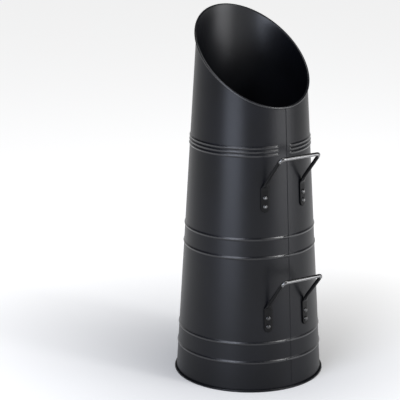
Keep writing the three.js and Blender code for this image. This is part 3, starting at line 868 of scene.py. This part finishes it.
def make_world():
    """Faint even light from all round."""
    world = bpy.data.worlds.new("studio")
    bpy.context.scene.world = world
    world.use_nodes = True
    tree = world.node_tree
    tree.nodes.clear()
    sky = add_node(tree, "ShaderNodeBackground", {"Color": (1, 1, 1, 1), "Strength": WORLD_LIGHT})
    add_node(tree, "ShaderNodeOutputWorld", {"Surface": sky})


# ---- Pieces of the shell, the wires and the pan ----
WIRE_STEPS = 180
WIRE_SIDES = 12
PAN_CORNER_STEPS = 6
PAN_EDGE = 0.2 * MM     # chamfer of the flange's edge


class SCUTTLE_OT_shell(bpy.types.Operator):
    """Make the rolled shell with its seam, beads and curled edges"""
    bl_idname = "scuttle.shell"
    bl_label = "Shell"

    def execute(self, context):
        piece = new_piece("shell", *swept(shell_rings(), True))
        sizes = named_sizes(settings().shell, "single_bead_width", "group_bead_width", "bead_reach",
                            "seam_bulge", "weld_height", "weld_radius", "weld_depth", "weld_turn")
        run_tree(piece, pressing_tree, {**sizes, **SINGLE_BEADS, **GROUP_BEADS}, black_powder_coat)
        finish_piece(piece, black_powder_coat, ["body_shell"])
        return {"FINISHED"}


class SCUTTLE_OT_wires(bpy.types.Operator):
    """Make the steel wires inside the two curled edges"""
    bl_idname = "scuttle.wires"
    bl_label = "Wires"

    def execute(self, context):
        sizes = settings()
        radius = sizes.shell.curl_hollow - sizes.pan.clearance
        for name, curl in (("foot_wire", foot_curl), ("rim_wire", rim_curl)):
            line = [curl(2 * math.pi * k / WIRE_STEPS)[0] for k in range(WIRE_STEPS)]
            loop = [(k, (k + 1) % WIRE_STEPS) for k in range(WIRE_STEPS)]
            piece = new_piece(f"{name}_drawn", line, edges=loop)
            run_tree(piece, wire_tree, {"Wire radius": radius}, drawn_steel_wire)
            finish_piece(piece, drawn_steel_wire, [name])
        return {"FINISHED"}


def wire_tree(sizes, look):
    """A round wire along the edges of a line."""
    tree, given = geometry_tree("Wire along a line", sizes)
    path = add_node(tree, "GeometryNodeMeshToCurve", {"Mesh": given["Geometry"]})
    section = add_node(tree, "GeometryNodeCurvePrimitiveCircle", {
        "Resolution": WIRE_SIDES, "Radius": given["Wire radius"]})
    wire = add_node(tree, "GeometryNodeCurveToMesh", {"Curve": path, "Profile Curve": section})
    give_finished(tree, wire, look)
    return tree


class SCUTTLE_OT_pan(bpy.types.Operator):
    """Make the shallow pan that closes the bottom"""
    bl_idname = "scuttle.pan"
    bl_label = "Pan"

    def execute(self, context):
        piece = new_piece("pan", *swept(pan_rings(), False))
        finish_piece(piece, black_powder_coat, ["base_pan"])
        return {"FINISHED"}


def pan_rings():
    """Rings from the middle of the pan's underside out, over its flange and back along the inside."""
    sizes = settings()
    pan, sheet = sizes.pan, sizes.shell.sheet
    top = pan.height + pan.flange
    inset = sheet + pan.clearance

    def corner(part, radius):
        turn = part * math.pi / 2
        return (inset + pan.corner - radius * math.sin(turn),
                pan.height + pan.corner - radius * math.cos(turn))

    parts = [k / PAN_CORNER_STEPS for k in range(PAN_CORNER_STEPS + 1)]
    section = [corner(part, pan.corner) for part in parts]
    section += [(inset, top - PAN_EDGE), (inset + PAN_EDGE, top), (inset + sheet - PAN_EDGE, top),
                (inset + sheet, top - PAN_EDGE)]
    section += [corner(part, pan.corner - sheet) for part in reversed(parts)]
    seam, plain = seam_columns(), plain_columns(PLAIN_COLUMNS, 0)
    distances = seam + [math.inf] * len(plain)
    turns = column_turns(seam, plain, sizes.shell.foot_radius)
    step = sizes.shell.fold_depth + pan.clearance
    return [[around(turn, wall_radius(height) - inward - step * fold_share(distance), height)
             for turn, distance in zip(turns, distances)] for inward, height in section]


# ---- Handles ----
ROD_SIDES = 24
BEND_STEPS = 10
FLAT_STEP = 4 * MM                      # between the rings of a lug
END_DEGREES = range(8, 91, 9)           # rings on a lug's round end
END_THINNED = 0.5                       # thickness of a lug at its very end over the rest
FLARE_PARTS = (0.15, 0.3, 0.45, 0.6)    # rings where the rod widens
BEFORE_BEND = 3 * MM                    # straight rod below the arm's bend
ROD_SHARP_EDGE = 60                     # degrees
FLAT_SQUARENESS = 4                     # powers of the section's curve: a flat lug and a round rod
ROUND_SQUARENESS = 2


class SCUTTLE_OT_handles(bpy.types.Operator):
    """Make the two bent-rod handles with flattened ends"""
    bl_idname = "scuttle.handles"
    bl_label = "Handles"

    def execute(self, context):
        for name, rivet_height in HANDLES.items():
            piece = new_piece(f"{name}_rod", *swept(handle_rings(rivet_height), False))
            finish_piece(piece, black_coated_rod, [f"{name}_handle"], ROD_SHARP_EDGE)
        return {"FINISHED"}


def bent_line(corners, radii):
    """Straight runs joined by arcs of the given radii."""
    points = [corners[0]]
    for before, corner, after, radius in zip(corners, corners[1:], corners[2:], radii):
        back, ahead = (before - corner).normalized(), (after - corner).normalized()
        half = back.angle(ahead) / 2
        centre = corner + (back + ahead).normalized() * radius / math.sin(half)
        start, end = (corner + way * radius / math.tan(half) - centre for way in (back, ahead))
        axis, sweep = start.cross(end).normalized(), start.angle(end)
        points += [centre + Quaternion(axis, sweep * k / BEND_STEPS) @ start for k in range(BEND_STEPS + 1)]
    return points + [corners[-1]]


def rod_section(distance):
    """Half width, half thickness and squareness of the rod at a distance up from the lug's end."""
    sizes = settings()
    handle = sizes.handle
    flare_end = handle.lug_below + sizes.fastener.pitch + handle.lug_above
    half_lug = handle.lug_width / 2
    thin = handle.lug_thickness / 2
    if distance < half_lug:
        inward = 1 - distance / half_lug
        thinned = thin * mix(END_THINNED, 1, min(distance / thin, 1))
        return half_lug * math.sqrt(1 - inward * inward), thinned, FLAT_SQUARENESS
    part = ease(flare_end - handle.lug_flare, flare_end, distance)
    return (mix(half_lug, handle.rod_radius, part), mix(thin, handle.rod_radius, part),
            mix(FLAT_SQUARENESS, ROUND_SQUARENESS, part))


def half_rod_line(rivet_height, turn, lug_end):
    """The left half of a handle's middle line, from the lug's end to the middle of the grip."""
    handle, gap = settings().handle, settings().pan.clearance
    thin, thick = handle.lug_thickness / 2, handle.rod_radius

    def on_wall(height, standoff):
        return around(turn, wall_radius(height), height) + wall_normal(turn) * (gap + standoff)

    bend = rivet_height + handle.lug_above
    grip = rivet_height + handle.grip_rise
    grip_out = wall_radius(grip) + handle.grip_standoff
    flat_length = bend - handle.lug_flare - lug_end
    half_lug = handle.lug_width / 2
    round_end = [half_lug * (1 - math.cos(math.radians(degrees))) for degrees in END_DEGREES]
    flat = [on_wall(lug_end + distance, thin) for distance in spread([*round_end, flat_length], FLAT_STEP)]
    flare = [on_wall(bend - handle.lug_flare * (1 - part), mix(thin, thick, ease(0, 1, part)))
             for part in FLARE_PARTS]
    arm = bent_line([
        on_wall(bend - BEFORE_BEND, thick),
        on_wall(bend, thick),
        Vector((-handle.grip_half_width, -grip_out, grip)),
        Vector((0, -grip_out, grip)),
    ], [handle.arm_bend, handle.grip_bend])
    return flat + flare + arm[1:]


def handle_rings(rivet_height):
    """Rings round the rod, from the end of the left lug over the grip to the end of the right one.

    Each is carried on from the one before it without twist, starting flat on the wall."""
    sizes = settings()
    turn = -lug_turn(rivet_height)
    lug_end = rivet_height - sizes.fastener.pitch - sizes.handle.lug_below
    middles = half_rod_line(rivet_height, turn, lug_end)
    across = Vector((math.cos(turn), math.sin(turn), 0))
    rings = []
    for k, middle in enumerate(middles):
        last = k == len(middles) - 1
        along = Vector((1, 0, 0)) if last else (middles[k + 1] - middles[max(k - 1, 0)]).normalized()
        across = (across - along * across.dot(along)).normalized()
        out = across.cross(along)
        half_width, half_thickness, square = rod_section(middle.z - lug_end)
        ring = []
        for side in range(ROD_SIDES):
            c, s = math.cos(2 * math.pi * side / ROD_SIDES), math.sin(2 * math.pi * side / ROD_SIDES)
            ring.append(middle + across * half_width * math.copysign(abs(c) ** (2 / square), c)
                        + out * half_thickness * math.copysign(abs(s) ** (2 / square), s))
        rings.append(ring)
    mirrored = [[Vector((-point.x, point.y, point.z)) for point in ring] for ring in reversed(rings[:-1])]
    return rings + mirrored


# ---- Rivets and washers ----
DOME_SEGMENTS = 24
DOME_RINGS = 14
SHANK_SUNK = 0.5 * MM    # how far the shank goes into each head
WASHER_SIDES = 32


class SCUTTLE_OT_rivets(bpy.types.Operator):
    """Set the domed rivets through the lugs and the wall"""
    bl_idname = "scuttle.rivets"
    bl_label = "Rivets"

    def execute(self, context):
        sizes = named_sizes(settings().fastener, "head_radius", "head_height", "shank_radius", "tail_radius",
                            "tail_height")
        set_on_wall("rivets", "rivet", rivet_tree, sizes)
        return {"FINISHED"}


class SCUTTLE_OT_washers(bpy.types.Operator):
    """Set the washers that the rivets are closed on inside the wall"""
    bl_idname = "scuttle.washers"
    bl_label = "Washers"

    def execute(self, context):
        fastener = settings().fastener
        sizes = named_sizes(fastener, "washer_radius", "washer_thickness")
        sizes["Hole radius"] = fastener.shank_radius + fastener.washer_gap
        set_on_wall("washers", "washer", washer_tree, sizes)
        return {"FINISHED"}


def set_on_wall(name, kind, build, sizes):
    """Makes one piece of all rivets, or of all washers, where the rivets go through the wall."""
    places, nodes = [], []
    for handle, rivet_height in HANDLES.items():
        for side, sign in SIDES.items():
            for row, step in ROWS.items():
                height = rivet_height + step * settings().fastener.pitch
                places.append(around(sign * lug_turn(rivet_height), wall_radius(height), height))
                nodes.append(f"{handle}_{kind}_{side}_{row}")
    piece = new_piece(name, places)
    sizes = {**sizes, **wall_seats(), "Wall taper": settings().shell.taper}
    run_tree(piece, build, sizes, black_painted_rivet)
    finish_piece(piece, black_painted_rivet, nodes)


def wall_seats():
    """How far out of the wall's outer face the heads, washers and closed ends sit, along the rivet."""
    sizes = settings()
    gap = sizes.pan.clearance
    washer = -(sizes.shell.sheet + sizes.fastener.wall_chord + gap)
    return {"Head seat": 2 * gap + sizes.handle.lug_thickness, "Washer seat": washer,
            "Tail seat": washer - sizes.fastener.washer_thickness - gap}


def give_on_wall(tree, given, solid, look):
    """Ends a tree with a solid on each point, its Z axis square to the tapered wall."""
    node = partial(add_node, tree)
    x, y, _ = node("ShaderNodeSeparateXYZ", [node("GeometryNodeInputPosition")]).node.outputs
    out = node("ShaderNodeVectorMath", [node("ShaderNodeCombineXYZ", [x, y])], operation="NORMALIZE")
    lean = node("ShaderNodeCombineXYZ", {"Z": given["Wall taper"]})
    normal = node("ShaderNodeVectorMath", [out, lean], operation="ADD")
    turn = node("FunctionNodeAlignRotationToVector", {"Vector": normal}, axis="Z")
    points = node("GeometryNodeMeshToPoints", {"Mesh": given["Geometry"]})
    give_finished(tree, node("GeometryNodeInstanceOnPoints", {
        "Points": points, "Instance": solid, "Rotation": turn}), look)


def dome(tree, radius, height, seat_height, direction):
    """A closed dome on a flat base at a height on the Z axis, facing up (1) or down (-1)."""
    node = partial(add_node, tree)
    ball = node("GeometryNodeMeshUVSphere", {"Segments": DOME_SEGMENTS, "Rings": DOME_RINGS, "Radius": 1.0})
    x, y, z = node("ShaderNodeSeparateXYZ", [node("GeometryNodeInputPosition")]).node.outputs
    above = node("ShaderNodeMath", [z, 0.0], operation="MAXIMUM")
    half = node("GeometryNodeSetPosition", {
        "Geometry": ball, "Position": node("ShaderNodeCombineXYZ", [x, y, above])})
    return node("GeometryNodeTransform", {
        "Geometry": half, "Translation": node("ShaderNodeCombineXYZ", {"Z": seat_height}),
        "Rotation": (0.0, 0.0, 0.0) if direction > 0 else (math.pi, 0.0, 0.0),
        "Scale": node("ShaderNodeCombineXYZ", [radius, radius, height])})


def rivet_tree(sizes, look):
    """A rivet at each point: a domed head outside, a shank and a closed end inside, made one solid."""
    tree, given = geometry_tree("Rivets", sizes)
    node = partial(add_node, tree)
    head = dome(tree, given["Head radius"], given["Head height"], given["Head seat"], 1)
    tail = dome(tree, given["Tail radius"], given["Tail height"], given["Tail seat"], -1)
    between = node("ShaderNodeMath", [given["Head seat"], given["Tail seat"]], operation="SUBTRACT")
    depth = node("ShaderNodeMath", [between, 2 * SHANK_SUNK], operation="ADD")
    both = node("ShaderNodeMath", [given["Head seat"], given["Tail seat"]], operation="ADD")
    middle = node("ShaderNodeMath", [both, 0.5], operation="MULTIPLY")
    rod = node("GeometryNodeMeshCylinder", {
        "Vertices": DOME_SEGMENTS, "Radius": given["Shank radius"], "Depth": depth})
    shank = node("GeometryNodeTransform", {
        "Geometry": rod, "Translation": node("ShaderNodeCombineXYZ", {"Z": middle})})
    solid = node("GeometryNodeMeshBoolean", {"Mesh 2": [head, shank, tail]}, operation="UNION")
    give_on_wall(tree, given, solid, look)
    return tree


def washer_tree(sizes, look):
    """A flat washer at each point."""
    tree, given = geometry_tree("Washers", sizes)
    node = partial(add_node, tree)
    outer, hole, thickness = given["Washer radius"], given["Hole radius"], given["Washer thickness"]
    width = node("ShaderNodeMath", [outer, hole], operation="SUBTRACT")
    both = node("ShaderNodeMath", [outer, hole], operation="ADD")
    middle = node("ShaderNodeMath", [both, 0.5], operation="MULTIPLY")
    ring = node("GeometryNodeCurvePrimitiveCircle", {"Resolution": WASHER_SIDES, "Radius": middle})
    section = node("GeometryNodeCurvePrimitiveQuadrilateral", {"Width": width, "Height": thickness})
    washer = node("GeometryNodeCurveToMesh", {"Curve": ring, "Profile Curve": section})
    depth = node("ShaderNodeMath", [thickness, -0.5, given["Washer seat"]], operation="MULTIPLY_ADD")
    seated = node("GeometryNodeTransform", {
        "Geometry": washer, "Translation": node("ShaderNodeCombineXYZ", {"Z": depth})})
    give_on_wall(tree, given, seated, look)
    return tree


# ---- Panel and start ----
class SCUTTLE_PT_panel(bpy.types.Panel):
    """Sizes, finishes and pieces of the coal scuttle"""
    bl_idname = "SCUTTLE_PT_panel"
    bl_label = "Coal Scuttle"
    bl_space_type = "VIEW_3D"
    bl_region_type = "UI"
    bl_category = "Scuttle"

    def draw(self, context):
        sizes = settings()
        for operator in OPERATORS:
            self.layout.operator(operator.bl_idname)
        for name in ("shell", "pan", "handle", "fastener", "finish", "sheen", "stage"):
            box = self.layout.box()
            group = getattr(sizes, name)
            box.label(text=name.capitalize())
            for prop in group.bl_rna.properties:
                if prop.identifier not in ("rna_type", "name"):
                    box.prop(group, prop.identifier)


OPERATORS = [SCUTTLE_OT_stage, SCUTTLE_OT_shell, SCUTTLE_OT_wires, SCUTTLE_OT_pan, SCUTTLE_OT_handles,
             SCUTTLE_OT_rivets, SCUTTLE_OT_washers]
CLASSES = [ShellSizes, PanSizes, HandleSizes, FastenerSizes, FinishColours, CoatSheen, StageSettings,
           ScuttleSettings, *OPERATORS, SCUTTLE_PT_panel]


def register():
    for cls in CLASSES:
        bpy.utils.register_class(cls)
    bpy.types.Scene.scuttle = PointerProperty(type=ScuttleSettings)


def unregister():
    del bpy.types.Scene.scuttle
    for cls in reversed(CLASSES):
        bpy.utils.unregister_class(cls)


def main():
    register()
    for operator in OPERATORS:
        group, name = operator.bl_idname.split(".")
        getattr(getattr(bpy.ops, group), name)()


if __name__ == "__main__":
    main()
